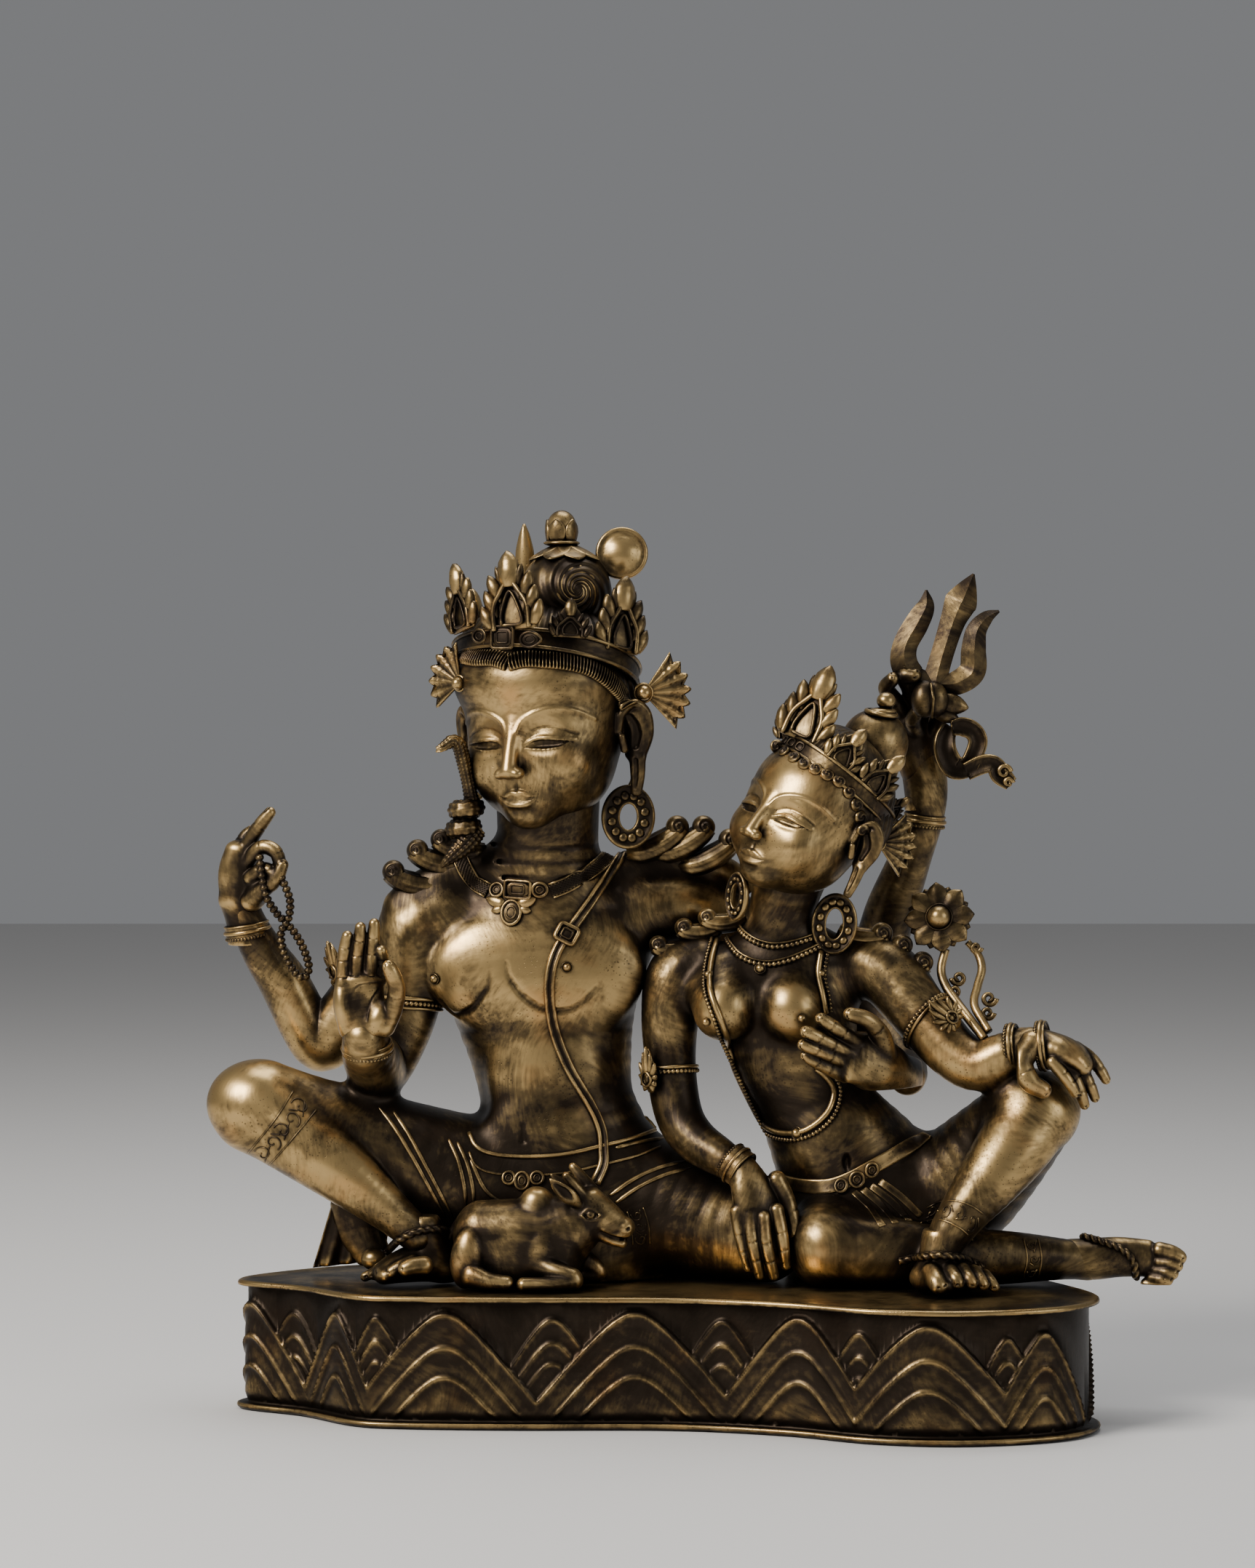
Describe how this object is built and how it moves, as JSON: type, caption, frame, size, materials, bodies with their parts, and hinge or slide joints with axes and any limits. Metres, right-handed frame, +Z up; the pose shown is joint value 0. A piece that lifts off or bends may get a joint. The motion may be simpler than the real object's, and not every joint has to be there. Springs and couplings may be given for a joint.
{
  "type": "shiva and parvati statue",
  "caption": "Seated crowned god with a goddess on his thigh, a small bull at his foot and a trident held up behind them, in dark rubbed bronze on a wavy rock plinth.",
  "frame": {"origin": "centre of the plinth's flat underside", "axes": "+X to the goddess's side of the statue, the viewer's right; +Y to the back; +Z up"},
  "size_m": [0.6299, 0.258, 0.5848],
  "materials": {
    "dark_bronze": "dark brown patina with rubbed ridges, satin",
    "rubbed_bronze": "rubbed golden high spots over dark brown patina, satin"
  },
  "bodies": {
    "root": {"plinth": "dark_bronze", "shiva": "rubbed_bronze", "parvati": "rubbed_bronze", "bull": "rubbed_bronze", "trident": "rubbed_bronze"}
  },
  "joints": []
}
